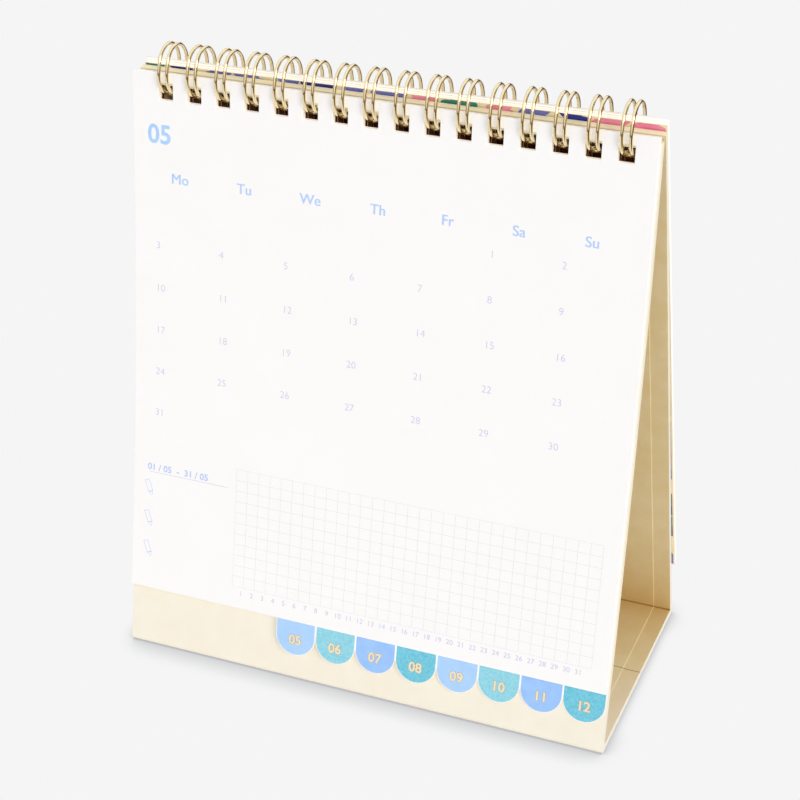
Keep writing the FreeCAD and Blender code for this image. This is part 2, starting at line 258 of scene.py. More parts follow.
def bend(flat, place, proud=0.0):
    """Cut a flat mesh into bands and put every point where it belongs."""
    heights = [vert.co.y for vert in flat.verts]
    for band in range(math.ceil(min(heights) / BAND), math.ceil(max(heights) / BAND)):
        bisect(flat, (0, band * BAND, 0), (0, 1, 0))
    for vert in flat.verts:
        vert.co = place(vert.co.x, vert.co.y, proud + vert.co.z)
    return flat


def join(flats):
    """Put several bmeshes into the first one."""
    first, *others = flats
    for other in others:
        mesh = bpy.data.meshes.new("joined")
        other.to_mesh(mesh)
        other.free()
        first.from_mesh(mesh)
        bpy.data.meshes.remove(mesh)
    return first


def keep(name, shape, material, body, replaced=None):
    """Turn a bmesh into a piece that rides on a body of the model."""
    mesh = bpy.data.meshes.new(name)
    shape.to_mesh(mesh)
    shape.free()
    mesh.materials.append(material)
    piece = bpy.data.objects.new(name, mesh)
    bpy.context.scene.collection.objects.link(piece)
    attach(piece, body)
    if replaced:
        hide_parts(replaced)
    return piece


# %% [markdown]
# ## Colours and papers
# Uncoated paper scatters light evenly, so its shader is rough and hardly shines. What tells
# the eye that it is paper is a faint cloudiness a few millimetres wide, where the fibres lie
# thicker, and a tooth of under half a millimetre. Both are noise on object coordinates.

# %% Colour and node helpers


def linear(code):
    """An sRGB hex colour as the linear colour that shaders use."""
    values = [int(code[place:place + 2], 16) / 255 for place in (1, 3, 5)]
    return [value / 12.92 if value <= 0.04045 else ((value + 0.055) / 1.055) ** 2.4
            for value in values] + [1.0]


def add(tree, kind, inputs=(), output=0, **settings):
    """Add a node with its settings, fill its inputs with values or links, return one output."""
    node = tree.nodes.new(kind)
    for key, value in settings.items():
        setattr(node, key, value)
    for name, value in dict(inputs).items():
        if isinstance(value, bpy.types.NodeSocket):
            tree.links.new(value, node.inputs[name])
        else:
            node.inputs[name].default_value = value
    return node.outputs[output]


def blank(name):
    """A new material with its node tree, its shader and its object coordinates."""
    material = bpy.data.materials.new(name)
    material.use_nodes = True
    tree = material.node_tree
    where = add(tree, "ShaderNodeTexCoord", output="Object")
    return material, tree, tree.nodes["Principled BSDF"], where


def cloudy(tree, where, colour, shade, size=6 * MM, low=0.35, high=0.7):
    """A colour that drifts softly towards its shade over patches of that size."""
    noise = add(tree, "ShaderNodeTexNoise", {"Vector": where, "Scale": 1 / size, "Detail": 3})
    spread = add(tree, "ShaderNodeMapRange",
                 {"Value": noise, "From Min": low, "From Max": high})
    return add(tree, "ShaderNodeMix", {0: spread, 6: linear(colour), 7: linear(shade)}, 2,
               data_type="RGBA")


def tooth(tree, shader, where, size, depth):
    """The fine roughness of a paper's surface."""
    grain = add(tree, "ShaderNodeTexNoise", {"Vector": where, "Scale": 1 / size, "Detail": 4})
    bump = add(tree, "ShaderNodeBump", {"Height": grain, "Distance": depth, "Strength": 0.6})
    tree.links.new(bump, shader.inputs["Normal"])


def paper(name, colour, shade, size=6 * MM, roughness=0.62, depth=0.02 * MM):
    """Uncoated paper or card: rough, faintly cloudy, with a fine tooth."""
    material, tree, shader, where = blank(name)
    tree.links.new(cloudy(tree, where, colour, shade, size), shader.inputs["Base Color"])
    shader.inputs["Roughness"].default_value = roughness
    shader.inputs["Specular IOR Level"].default_value = 0.3
    tooth(tree, shader, where, 0.35 * MM, depth)
    return material


# %% [markdown]
# ## The stand's papers
# The stand is greyboard wrapped in cream paper, the way a book case is made: the paper is
# folded over the boards' edges, and a lining paper covers the boards inside. Inside the stand
# both papers are painted tan, as painted shade and bounced light on the cream paper. Painted
# bounced light makes them more golden towards the back corner, and painted light makes them
# paler towards the front. Under the ridge, where the panels nearly meet, the lining is painted
# dark brown as painted shade, so the punched holes look dark. The folds get thin dark lines of
# painted shade. The material finds the inside by depth: a point is inside when it lies deeper
# than the boards from all three outer faces.

# %% Painted light and shade inside the stand, and depth, as nodes


def inside_depth(tree, section):
    """How deep a point is from the nearest of the front, the back and the base."""
    centre = lean_point(0, BOW_DEPTH - BOW_RADIUS, SLANT / 2, -1)
    front = add(tree, "ShaderNodeVectorMath", {0: section, 1: (0, centre.y, centre.z)}, 1,
                operation="DISTANCE")
    front = add(tree, "ShaderNodeMath", {0: front, 1: BOW_RADIUS}, operation="SUBTRACT")
    inwards = (0, -math.cos(LEAN), -math.sin(LEAN))
    back = add(tree, "ShaderNodeVectorMath", {0: section, 1: inwards}, 1,
               operation="DOT_PRODUCT")
    back = add(tree, "ShaderNodeMath", {0: back, 1: HALF_BASE * math.cos(LEAN)},
               operation="ADD")
    up = add(tree, "ShaderNodeSeparateXYZ", {0: section}, "Z")
    nearest = add(tree, "ShaderNodeMath", {0: front, 1: back}, operation="MINIMUM")
    return add(tree, "ShaderNodeMath", {0: nearest, 1: up}, operation="MINIMUM")


def fold_lines(tree, section, colour, depth):
    """Paint light and shade on a sheet: painted bounced light at the back corner, painted light
    towards the front, painted shade in the two folds.

    depth is how far the sheet's surface lies inside the stand."""
    corner = HALF_BASE - depth * (1 + math.sin(LEAN)) / math.cos(LEAN)
    nearest = add(tree, "ShaderNodeVectorMath", {0: section, 1: (0, corner, depth)}, 1,
                  operation="DISTANCE")
    golden = add(tree, "ShaderNodeMapRange", {"Value": nearest, "From Max": PAINTED_BOUNCE_REACH,
                                              "To Min": 0.6, "To Max": 0.0})
    crease = add(tree, "ShaderNodeVectorMath", {0: section, 1: (0, CREASE_PLACE, depth)}, 1,
                 operation="DISTANCE")
    crease = add(tree, "ShaderNodeMath", {0: crease, 1: 2.0}, operation="MULTIPLY")
    nearest = add(tree, "ShaderNodeMath", {0: nearest, 1: crease}, operation="MINIMUM")
    amount = add(tree, "ShaderNodeMapRange",
                 {"Value": nearest, "From Min": FOLD_WIDTH * 0.4, "From Max": FOLD_WIDTH,
                  "To Min": 0.85, "To Max": 0.0})
    colour = add(tree, "ShaderNodeMix", {0: golden, 6: colour, 7: linear(CORNER_PAINTED_BOUNCE)}, 2,
                 data_type="RGBA")
    forward = add(tree, "ShaderNodeSeparateXYZ", {0: section}, "Y")
    pale = add(tree, "ShaderNodeMapRange", {"Value": forward, "From Min": FRONT_LIGHT_START,
                                            "From Max": FRONT_LIGHT_END})
    colour = add(tree, "ShaderNodeMix", {0: pale, 6: colour, 7: linear(FRONT_PAINTED_LIGHT)}, 2,
                 data_type="RGBA")
    return add(tree, "ShaderNodeMix", {0: amount, 6: colour, 7: linear(FOLD_PAINTED_SHADE)}, 2,
               data_type="RGBA")


# %% Cream wrap, lining, their painted inside light and shade, and greyboard
CREAM = "#F7F0DE"
CREAM_SHADE = "#F5EDD9"
RIDGE_PAINTED_LIGHT = "#FFF3CC"
RIDGE = 166 * MM
# The inside's tan and its cloudier partner are painted shade and bounced light on cream paper.
TAN = "#EAD8AC"
TAN_SHADE = "#E5D09D"
# Painted light and shade inside the stand: the fold colour is painted shade in the creases, the
# gold is painted bounced light at the back corner, and the front tan is painted light.
FOLD_PAINTED_SHADE = "#A87A36"
CORNER_PAINTED_BOUNCE = "#CBA253"
FRONT_PAINTED_LIGHT = "#F6E9D0"
RIDGE_PAINTED_SHADE = "#7A4412"
FOLD_WIDTH = 0.45 * MM
PAINTED_BOUNCE_REACH = 28 * MM
FRONT_LIGHT_START = 8 * MM
FRONT_LIGHT_END = -25 * MM
RIDGE_SHADE_START = 148 * MM
RIDGE_SHADE_END = 158 * MM
LINING_HIGHLIGHT_BAND = 0.03 * MM


def wrap_paper():
    material, tree, shader, where = blank("cream wrapping paper")
    section = add(tree, "ShaderNodeVectorMath", {0: where, 1: (0, 1, 1)}, operation="MULTIPLY")
    outside = cloudy(tree, where, CREAM, CREAM_SHADE)
    # Towards the ridge the outside cream is painted brighter and deeper: painted light on the top
    # edge, which lies in part shade.
    up = add(tree, "ShaderNodeSeparateXYZ", {0: where}, "Z")
    ridge = add(tree, "ShaderNodeMapRange", {"Value": up, "From Min": RIDGE - 4 * MM,
                                             "From Max": RIDGE})
    outside = add(tree, "ShaderNodeMix", {0: ridge, 6: outside, 7: linear(RIDGE_PAINTED_LIGHT)}, 2,
                  data_type="RGBA")
    # Inside the stand the cream gives way to tan painted shade and painted light, picked by depth
    # below.
    inside = cloudy(tree, where, TAN, TAN_SHADE)
    inside = fold_lines(tree, section, inside, WRAP_DEPTH)
    depth = inside_depth(tree, section)
    amount = add(tree, "ShaderNodeMath", {0: depth, 1: WRAP_DEPTH - 0.15 * MM},
                 operation="GREATER_THAN")
    colour = add(tree, "ShaderNodeMix", {0: amount, 6: outside, 7: inside}, 2,
                 data_type="RGBA")
    tree.links.new(colour, shader.inputs["Base Color"])
    shader.inputs["Roughness"].default_value = 0.55
    shader.inputs["Specular IOR Level"].default_value = 0.35
    tooth(tree, shader, where, 0.5 * MM, 0.015 * MM)
    return material


def lining_paper():
    material, tree, shader, where = blank("lining paper, tan as painted shade")
    section = add(tree, "ShaderNodeVectorMath", {0: where, 1: (0, 1, 1)}, operation="MULTIPLY")
    # The lining's tan is painted shade on cream paper.
    inside = cloudy(tree, where, TAN, TAN_SHADE)
    inside = fold_lines(tree, section, inside, LINING_DEPTH)
    across = add(tree, "ShaderNodeSeparateXYZ", {0: where}, "X")
    across = add(tree, "ShaderNodeMath", {0: across}, operation="ABSOLUTE")
    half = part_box("lining_paper")[1][0]
    # Under the ridge the lining is painted dark brown: painted shade where the panels nearly
    # meet.
    up = add(tree, "ShaderNodeSeparateXYZ", {0: where}, "Z")
    narrow = add(tree, "ShaderNodeMapRange", {"Value": up, "From Min": RIDGE_SHADE_START,
                                              "From Max": RIDGE_SHADE_END})
    within = add(tree, "ShaderNodeMapRange", {"Value": across, "From Min": half,
                                              "From Max": half - 3 * MM})
    ridge_shade = add(tree, "ShaderNodeMath", {0: narrow, 1: within}, operation="MULTIPLY")
    inside = add(tree, "ShaderNodeMix", {0: ridge_shade, 6: inside, 7: linear(RIDGE_PAINTED_SHADE)}, 2,
                 data_type="RGBA")
    # A thin paler band along the lining's cut side is a painted highlight, where its edge catches
    # the light.
    edge = add(tree, "ShaderNodeMath", {0: across, 1: half - LINING_HIGHLIGHT_BAND},
               operation="GREATER_THAN")
    colour = add(tree, "ShaderNodeMix", {0: edge, 6: inside, 7: linear("#FBEFCB")}, 2,
                 data_type="RGBA")
    tree.links.new(colour, shader.inputs["Base Color"])
    shader.inputs["Roughness"].default_value = 0.6
    shader.inputs["Specular IOR Level"].default_value = 0.3
    tooth(tree, shader, where, 0.5 * MM, 0.015 * MM)
    return material


def repaint(node, material):
    """Give a node of the model a better material. Its mesh and place stay as they are."""
    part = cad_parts[node]
    for slot in part.material_slots:
        slot.material = material


# The board's brown is its own kraft colour, darkened further as painted shade so the punched
# holes look dark.
greyboard = paper("brown greyboard, darkened as painted shade", "#6A3408", "#542605", 2 * MM, 0.8, 0.05 * MM)
repaint("outer_paper", wrap_paper())
repaint("lining_paper", lining_paper())
for board in ("front_board", "back_board", "base_front_board", "base_back_board"):
    repaint(board, greyboard)
print("stand: wrap, lining and four boards finished")

# %% [markdown]
# ## The loose leaves
# A leaf is heavy white paper, die-cut in one piece with its index tab and its sixteen square
# holes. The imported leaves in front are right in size, but their bow is made of long flat
# facets, so smooth ones stand in for them. Each starts as a filled outline. The face is
# extruded to the paper's thickness, cut into bands and bent. The turned leaves are flat and
# stay. Thin paper lets light through, so the narrow gaps of a stack stay pale. The shader
# keeps light outside the paper, so a glow stands in for it, only where near things hide the
# open room.

# %% Leaves in front
GAP = 3 * MM


def leaf_paper():
    """White card that glows faintly in gaps narrower than GAP."""
    material = paper("white leaf paper", "#FCFAF8", "#FBF9F6", 14 * MM, 0.6)
    tree = material.node_tree
    shader = tree.nodes["Principled BSDF"]
    open_sky = add(tree, "ShaderNodeAmbientOcclusion", {"Distance": GAP}, "AO", samples=8)
    glow = add(tree, "ShaderNodeMapRange", {"Value": open_sky, "From Min": 0.2,
                                            "From Max": 0.85, "To Min": 0.28, "To Max": 0.0})
    tree.links.new(glow, shader.inputs["Emission Strength"])
    shader.inputs["Emission Color"].default_value = linear("#FFF1DC")
    return material


white_leaf = leaf_paper()


def page_outline(month):
    """The page with its tab, anticlockwise, from the upper right corner."""
    left, right = tab_span(month)
    corners = [(HALF_WIDTH, LEAF_HIGH), (-HALF_WIDTH, LEAF_HIGH), (-HALF_WIDTH, LEAF_LOW)]
    tab = tab_outline(month)[1:]
    tab.append((right, LEAF_LOW))
    return corners + tab + [(HALF_WIDTH, LEAF_LOW)]


def leaf_slab(month):
    """A flat leaf whose printed face is at z = 0 and whose back is one thickness below."""
    flat = outline_mesh([page_outline(month), *holes()])
    grown = bmesh.ops.extrude_face_region(flat, geom=flat.faces[:])
    moved = [part for part in grown["geom"] if isinstance(part, bmesh.types.BMVert)]
    bmesh.ops.translate(flat, verts=moved, vec=(0, 0, -LEAF_THICK))
    bmesh.ops.recalc_face_normals(flat, faces=flat.faces)
    return flat


for month in range(LAST_TURNED + 1, LAST_MONTH + 1):
    slab = bend(leaf_slab(month), front_face(month))
    keep(f"page_{month:02d}", slab, white_leaf, body_of(month), NODES[month])
for month in range(1, LAST_TURNED + 1):
    repaint(NODES[month], white_leaf)
print("leaves: eight bowed pages in front, four flat ones behind")

# %% [markdown]
# ## Print on the leaves
# Ink is far too thin to model, but a mesh a fiftieth of a millimetre proud of the page behaves
# like ink: it moves with its leaf and needs no image. The month and the weekdays are a light
# blue, the day numbers a very pale lilac and the grid paler still, so that the page looks
# almost empty. All inks share one recipe, a rough colour that drifts slightly, as a flat
# print does.

# %% Inks
INK_PROUD = 0.02 * MM


def ink(name, colour, shade, size=1.5 * MM, roughness=0.5):
    return paper(name, colour, shade, size, roughness, 0.004 * MM)


blue_ink = ink("light blue ink", "#B3D6FD", "#ABD0FA")
weekday_ink = ink("soft blue ink", "#B9D3FA", "#B2CDF7")
lilac_ink = ink("pale lilac ink", "#D5CFEA", "#CFC9E8")
grid_ink = ink("faint lilac ink", "#E2E3E8", "#DEE0E6")
label_ink = ink("periwinkle ink", "#BACDF3", "#B4C8F1")

# %% Month heading, weekdays and day numbers
HEADING_PLACE = (-68.2 * MM, 150.9 * MM)
HEADING_HEIGHT = 5.3 * MM
HEADING_WEIGHT = 0.16 * MM
WEEKDAYS = ["Mo", "Tu", "We", "Th", "Fr", "Sa", "Su"]
FIRST_WEEKDAY_PLACE = (-58.5 * MM, 140.2 * MM)
WEEKDAY_HEIGHT = 2.95 * MM
WEEKDAY_SHIFT = 0.07 * MM
FIRST_DAY_PLACE = (-66.0 * MM, 133.5 * MM)
COLUMN = 19.35 * MM
WEEK_ROW = 12.25 * MM
DAY_HEIGHT = 2.1 * MM
DAY_WEIGHT = -0.03 * MM
CALENDAR = {4: (3, 30), 5: (5, 31), 6: (1, 30)}


def heading(month):
    x, y = HEADING_PLACE
    return words(f"{month:02d}", x, y, HEADING_HEIGHT, "LEFT", HEADING_WEIGHT)


def weekday_row():
    """Each word is printed twice, side by side. A grown outline would fill the letter M."""
    x, y = FIRST_WEEKDAY_PLACE
    rows = []
    for shift, proud in ((-WEEKDAY_SHIFT, 0), (WEEKDAY_SHIFT, INK_PROUD / 2)):
        row = join([words(day, x + shift + place * COLUMN, y, WEEKDAY_HEIGHT)
                    for place, day in enumerate(WEEKDAYS)])
        bmesh.ops.translate(row, verts=row.verts, vec=(0, 0, proud))
        rows.append(row)
    return join(rows)


def day_numbers(month):
    """Day numbers in weeks from Monday. The calendar says on which weekday day 1 falls."""
    first, days = CALENDAR[month]
    x, y = FIRST_DAY_PLACE
    numbers = []
    for day in range(1, days + 1):
        week, weekday = divmod(day - 1 + first, 7)
        numbers.append(words(str(day), x + weekday * COLUMN, y - week * WEEK_ROW, DAY_HEIGHT,
                             "LEFT", DAY_WEIGHT))
    return join(numbers)


# %% [markdown]
# The lower part of the page is a table of small squares, one column for each day of the month,
# with a label and three small pencils beside it. A lattice comes from one operator after
# another: a grid of squares, each face inset by half a line's width, and the inner faces
# deleted. What is left is the lines. An outlined pencil comes from two faces in the same way.

# %% Table of squares, its numbers, label and pencils
TABLE_LEFT = -39.7 * MM
TABLE_RIGHT = 67.7 * MM
TABLE_LOW = 25.2 * MM
TABLE_HIGH = 60.8 * MM
TABLE_COLUMNS = 31
TABLE_ROWS = 11
LINE = 0.16 * MM
NUMBER_ROW = (-36.9 * MM, 3.37 * MM, 22.7 * MM)
NUMBER_HEIGHT = 1.55 * MM
LABEL_PLACE = (-68.1 * MM, 55.4 * MM)
LABEL_HEIGHT = 2.0 * MM
LABEL_WEIGHT = 0.05 * MM
UNDERLINE = (-67.5 * MM, -42.4 * MM, 54.75 * MM)
UNDERLINE_HALF = 0.07 * MM
PENCIL_WIDTH = 1.5 * MM
PENCIL_SHAFT = 3.7 * MM
PENCIL_LINE = 0.19 * MM
PENCIL_TURN = 0.36
PENCIL_LIFT = 0.5 * MM
PENCILS = [(-67.6 * MM, height * MM) for height in (49.9, 40.4, 31.0)]


def outlined(flat, line):
    """Keep only the outline of each face, as wide as the line."""
    whole = flat.faces[:]
    bmesh.ops.inset_individual(flat, faces=whole, thickness=line)
    bmesh.ops.delete(flat, geom=whole, context="FACES_ONLY")
    return flat


def lattice(columns, rows, spare=0):
    """The lines round every square of the table, which may be larger by a spare edge."""
    flat = bmesh.new()
    bmesh.ops.create_grid(flat, x_segments=columns, y_segments=rows, size=0.5)
    bmesh.ops.scale(flat, verts=flat.verts,
                    vec=(TABLE_RIGHT - TABLE_LEFT + 2 * spare,
                         TABLE_HIGH - TABLE_LOW + 2 * spare, 1))
    middle = ((TABLE_LEFT + TABLE_RIGHT) / 2, (TABLE_LOW + TABLE_HIGH) / 2, 0)
    bmesh.ops.translate(flat, verts=flat.verts, vec=middle)
    return outlined(flat, LINE / 2)


def table():
    """Each square gives half a line, so a frame adds the outer half round the whole table."""
    return join([lattice(TABLE_COLUMNS, TABLE_ROWS), lattice(1, 1, LINE / 2)])


def table_numbers():
    x, step, y = NUMBER_ROW
    return join([words(str(number), x + (number - 1) * step, y, NUMBER_HEIGHT)
                 for number in range(1, TABLE_COLUMNS + 1)])


def pencil(x, y):
    """A small pencil that points down and to the right: a square shaft and a pointed end."""
    shaft = bmesh.new()
    bmesh.ops.create_grid(shaft, x_segments=1, y_segments=1, size=0.5)
    bmesh.ops.scale(shaft, verts=shaft.verts, vec=(PENCIL_WIDTH, PENCIL_SHAFT, 1))
    point = bmesh.new()
    bmesh.ops.create_circle(point, cap_ends=True, segments=3,
                            radius=PENCIL_WIDTH / math.sqrt(3))
    bmesh.ops.rotate(point, verts=point.verts, cent=(0, 0, 0),
                     matrix=Matrix.Rotation(math.pi, 3, "Z"))
    bmesh.ops.translate(point, verts=point.verts,
                        vec=(0, -PENCIL_SHAFT / 2 - PENCIL_WIDTH / math.sqrt(12), 0))
    flat = outlined(join([shaft, point]), PENCIL_LINE)
    bmesh.ops.rotate(flat, verts=flat.verts, cent=(0, 0, 0),
                     matrix=Matrix.Rotation(PENCIL_TURN, 3, "Z"))
    bmesh.ops.translate(flat, verts=flat.verts, vec=(x, y + PENCIL_LIFT, 0))
    return flat


def label(month):
    """The first and the last day of the month."""
    last_day = CALENDAR[month][1]
    return words(f"01 / {month:02d}  -  {last_day} / {month:02d}", *LABEL_PLACE,
                 LABEL_HEIGHT, "LEFT", LABEL_WEIGHT)


def underline():
    left, right, y = UNDERLINE
    return outline_mesh([rectangle(left, right, y - UNDERLINE_HALF, y + UNDERLINE_HALF)])


# %% Printing the leaves that can be seen
for month in CALENDAR:
    face = front_face(month) if month > LAST_TURNED else turned_face(month)
    prints = {
        "heading": (heading(month), blue_ink),
        "weekdays": (weekday_row(), weekday_ink),
        "days": (day_numbers(month), lilac_ink),
        "table": (table(), grid_ink),
        "table_numbers": (table_numbers(), lilac_ink),
        "label": (label(month), label_ink),
        "underline": (underline(), lilac_ink),
        "pencils": (join([pencil(x, y) for x, y in PENCILS]), label_ink),
    }
    for what, (flat, colour) in prints.items():
        keep(f"print_{month:02d}_{what}", bend(flat, face, INK_PROUD), colour,
             body_of(month))
print("print: three leaves, eight pieces each")

# %% [markdown]
# ## Index tabs
# The tabs are printed in two colours by turns, a plain light blue and a mottled teal, and leave
# a thin pale rim. Each carries its month's number in gold foil, drawn as two layers of one
# metal: a near-white one, whose colour is a painted highlight, and an orange one round the rim
# of each figure, which is the foil's own gold deepened by painted shade.

# %% Tab colours and foil
TAB_RIM = 0.22 * MM
TAB_NUMBER_HEIGHT = 2.9 * MM
TAB_NUMBER_LOW = LEAF_LOW - 6.9 * MM
EDGE_WEIGHT = 0.19 * MM
FOIL_WEIGHT = 0.12 * MM
blue_tab = ink("light blue tab ink", "#B2D7FC", "#ABD1FB", 3 * MM)
full_blue_tab = ink("fuller blue tab ink", "#A2CAFB", "#98C2F9", 3 * MM)
teal_tab = ink("mottled teal tab ink", "#7FD0E2", "#62BDD6", 0.7 * MM)
light_teal_tab = ink("light mottled teal tab ink", "#9CDBE8", "#84CDDF", 0.7 * MM)


def foil(name, colour, roughness):
    material, tree, shader, where = blank(name)
    shader.inputs["Base Color"].default_value = linear(colour)
    shader.inputs["Metallic"].default_value = 1.0
    shader.inputs["Roughness"].default_value = roughness
    tooth(tree, shader, where, 0.25 * MM, 0.01 * MM)
    return material


# The near-white foil colour is a painted highlight; the orange rim is the same gold with painted
# shade.
gold_foil_painted_highlight = foil("gold stamping foil", "#FFF3CE", 0.15)
gold_rim_painted_shade = foil("gold stamping foil, rim in painted shade", "#DD962F", 0.35)


def print_tab(month, face, side):
    """The colour and the number on one side of a tab."""
    outline = tab_outline(month, TAB_RIM)
    left, right = tab_span(month)
    x = (left + right) / 2
    if side == "back":
        outline = [(-across, up) for across, up in outline]
        x = -x
    colour = (blue_tab, light_teal_tab, full_blue_tab, teal_tab)[(month - 1) % 4]
    body = body_of(month)
    field = bend(outline_mesh([outline]), face, INK_PROUD)
    keep(f"tab_{month:02d}_{side}", field, colour, body)
    for part, weight, layer, metal in (("edge", EDGE_WEIGHT, 2, gold_rim_painted_shade),
                                       ("number", FOIL_WEIGHT, 3, gold_foil_painted_highlight)):
        number = words(f"{month:02d}", x, TAB_NUMBER_LOW, TAB_NUMBER_HEIGHT, weight=weight)
        keep(f"tab_{month:02d}_{side}_{part}", bend(number, face, layer * INK_PROUD), metal,
             body)


for month in NODES:
    if month > LAST_TURNED:
        print_tab(month, front_face(month), "front")
    else:
        print_tab(month, turned_face(month), "front")
        print_tab(month, turned_face(month, from_behind=True), "back")
print("tabs: twelve, with the turned ones printed on both sides")

# %% [markdown]
# ## The cover's flower print
# The cover is cream card with large flat flowers in pink, blue violet and navy, and teal leaves
# between them. Turned over, only a strip along its top shows, but the whole face is printed.
# A flower is a ring of petals, each a squeezed circle, and a round middle. They are laid out on
# a loose grid, moved about by a seeded random number, with a row of small ones along the top.
# Motifs that cross the card's edge or a hole are cut off there with planes, and each colour has
# a layer of its own, so none flicker.

# %% Inks of the flower print
cover_card = paper("cream cover card", "#FBEDCA", "#F4E3BA", 8 * MM, 0.55)
repaint("cover_leaf", cover_card)
FLOWER_INKS = {
    "pink": ink("flower pink ink", "#F99DBA", "#F283A6", 4 * MM),
    "violet": ink("blue violet ink", "#7A82D4", "#666CC2", 4 * MM),
    "navy": ink("navy ink", "#2E3DA2", "#232F86", 4 * MM),
    "teal": ink("leaf teal ink", "#3E8F84", "#2F7F78", 4 * MM),
    "magenta": ink("magenta line ink", "#C93B72", "#B93069", 4 * MM),
}


PETAL_STEP = 0.001 * MM
PETAL_FULLNESS = 0.55


def ellipse(x, y, half_length, half_width, turn, order, corners=20):
    """A flat ellipse that starts at a point and runs from it in the direction of turn.

    Each one of a group lies one step above the last, or they would flicker."""
    shape = bmesh.new()
    bmesh.ops.create_circle(shape, cap_ends=True, segments=corners, radius=1)
    bmesh.ops.scale(shape, verts=shape.verts, vec=(half_length, half_width, 1))
    bmesh.ops.translate(shape, verts=shape.verts, vec=(half_length, 0, 0))
    bmesh.ops.rotate(shape, verts=shape.verts, cent=(0, 0, 0),
                     matrix=Matrix.Rotation(turn, 3, "Z"))
    bmesh.ops.translate(shape, verts=shape.verts, vec=(x, y, order * PETAL_STEP))
    return shape


def flower(x, y, reach, petals, turn):
    """Petals for one flower, as wide as they are set apart."""
    width = reach * math.sin(math.pi / petals) * PETAL_FULLNESS
    return [ellipse(x, y, reach / 2, width, turn + 2 * math.pi * petal / petals, petal)
            for petal in range(petals)]


def trimmed(shape):
    """Cut away what lies outside the card or over its holes."""
    margin = 0.4 * MM
    for point, normal in (((HALF_WIDTH - margin, 0, 0), (1, 0, 0)),
                          ((margin - HALF_WIDTH, 0, 0), (-1, 0, 0)),
                          ((0, LEAF_HIGH, 0), (0, 1, 0)),
                          ((0, LEAF_LOW + margin, 0), (0, -1, 0))):
        bisect(shape, point, normal, clear_outer=True)
    squares = list(holes())
    for height in (squares[0][0][1], squares[0][2][1]):
        bisect(shape, (0, height, 0), (0, 1, 0))
    for square in squares:
        for x, _ in square[:2]:
            bisect(shape, (x, 0, 0), (1, 0, 0))
    over = [part for part in shape.faces
            if any(square[0][0] < part.calc_center_median().x < square[1][0] and
                   square[0][1] < part.calc_center_median().y < square[2][1]
                   for square in squares)]
    bmesh.ops.delete(shape, geom=over, context="FACES")
    return shape


# %% Laying out the flowers
GRID = 23.0 * MM
JITTER = 3
REACH = (10, 13.5)
HEART = 0.28
FOLIAGE_LENGTH = 8.6 * MM
FOLIAGE_WIDTH = 2.1 * MM
BORDER_PITCH = 9.8 * MM
BORDER_REACH = (4, 5.5)
layers = {colour: [] for colour in ("navy", "teal", "pink", "violet", "magenta")}
chance = random.Random(5)
for column in range(8):
    for row in range(1, 8):
        x = -HALF_WIDTH + (column - 0.2 + 0.5 * (row % 2)) * GRID
        x += chance.uniform(-JITTER, JITTER) * MM
        y = LEAF_HIGH - (row - 0.25) * GRID + chance.uniform(-JITTER, JITTER) * MM
        reach = chance.uniform(*REACH) * MM
        turn = chance.uniform(0, math.pi)
        colour = chance.choice(("pink", "violet", "violet", "navy"))
        layers[colour] += flower(x, y, reach, chance.choice((5, 6, 7)), turn)
        layers["magenta"] += flower(x, y, reach * HEART, 8, turn)
        for leaf in range(3):
            angle = turn + leaf * 2.1 + chance.uniform(-0.3, 0.3)
            layers["teal"].append(ellipse(x, y, FOLIAGE_LENGTH, FOLIAGE_WIDTH, angle, leaf))
BORDER = ["teal", "navy", "violet", "violet", "violet", "navy", "violet", "violet", "pink",
          "teal", "pink", "violet", "navy", "pink", "pink"]
for place, colour in enumerate(BORDER):
    x = -HALF_WIDTH + (place + 0.3) * BORDER_PITCH + chance.uniform(-1, 1) * MM
    layers[colour] += flower(x, LEAF_HIGH - chance.uniform(0.5, 2) * MM,
                             chance.uniform(*BORDER_REACH) * MM, 7,
                             chance.uniform(0, math.pi))
cover_face = turned_face(0)
for layer, (colour, shapes) in enumerate(layers.items()):
    flat = bend(trimmed(join(shapes)), cover_face, (layer + 1) * INK_PROUD / 2)
    keep(f"cover_print_{colour}", flat, FLOWER_INKS[colour], "stand")
print("cover: flowers in", len(layers), "colours")

# %% [markdown]
# ## The twin-loop wire
# One length of wire, a millimetre thick, is bent into sixteen pairs of loops. It runs up one
# loop, round a rounded tip, back down the next and along a short bar to the next pair. The
# packed wire has the same path in flat facets. Polished metal shows every facet, so a curve
# with a round bevel stands in for it. The path is worked out from the loop's radius and the
# pitch.

# %% The wire's path
RING_RADIUS = 5.4 * MM
RING_STRAIGHT = 2.4 * MM
RING_TILT = math.radians(18)
WIRE_RADIUS = 0.5 * MM
HALF_PAIR = 1.2 * MM
ELBOW = 1.0 * MM
TIP_ANGLE = math.radians(263.5)
FOOT_ANGLE = math.radians(301.5 - 360)
ARC_STEP = math.radians(5)
TIP_STEPS = 12
ELBOW_STEPS = 6


def ring_point(x, turn, upper=False):
    """A point of the loop. It is two half circles, the upper one a little further back."""
    apart = RING_STRAIGHT / 2 * (1 if upper else -1)
    turn -= RING_TILT
    return RING_CENTRE + Vector((x, RING_RADIUS * math.cos(turn) + apart * math.sin(RING_TILT),
                                 RING_RADIUS * math.sin(turn) + apart * math.cos(RING_TILT)))


def ring_direction(turn):
    return Vector((0, -math.sin(turn - RING_TILT), math.cos(turn - RING_TILT)))


def arc(x, start, end, upper=False):
    """Points along a part of the loop, no further apart than one step."""
    steps = math.ceil(abs(end - start) / ARC_STEP)
    return [ring_point(x, start + (end - start) * step / steps, upper)
            for step in range(steps + 1)]


def loop(x):
    """Points of one loop, from its foot behind, over the top, to its tip in front."""
    return (arc(x, FOOT_ANGLE, 0) + arc(x, 0, math.pi, upper=True) +
            arc(x, math.pi, TIP_ANGLE))


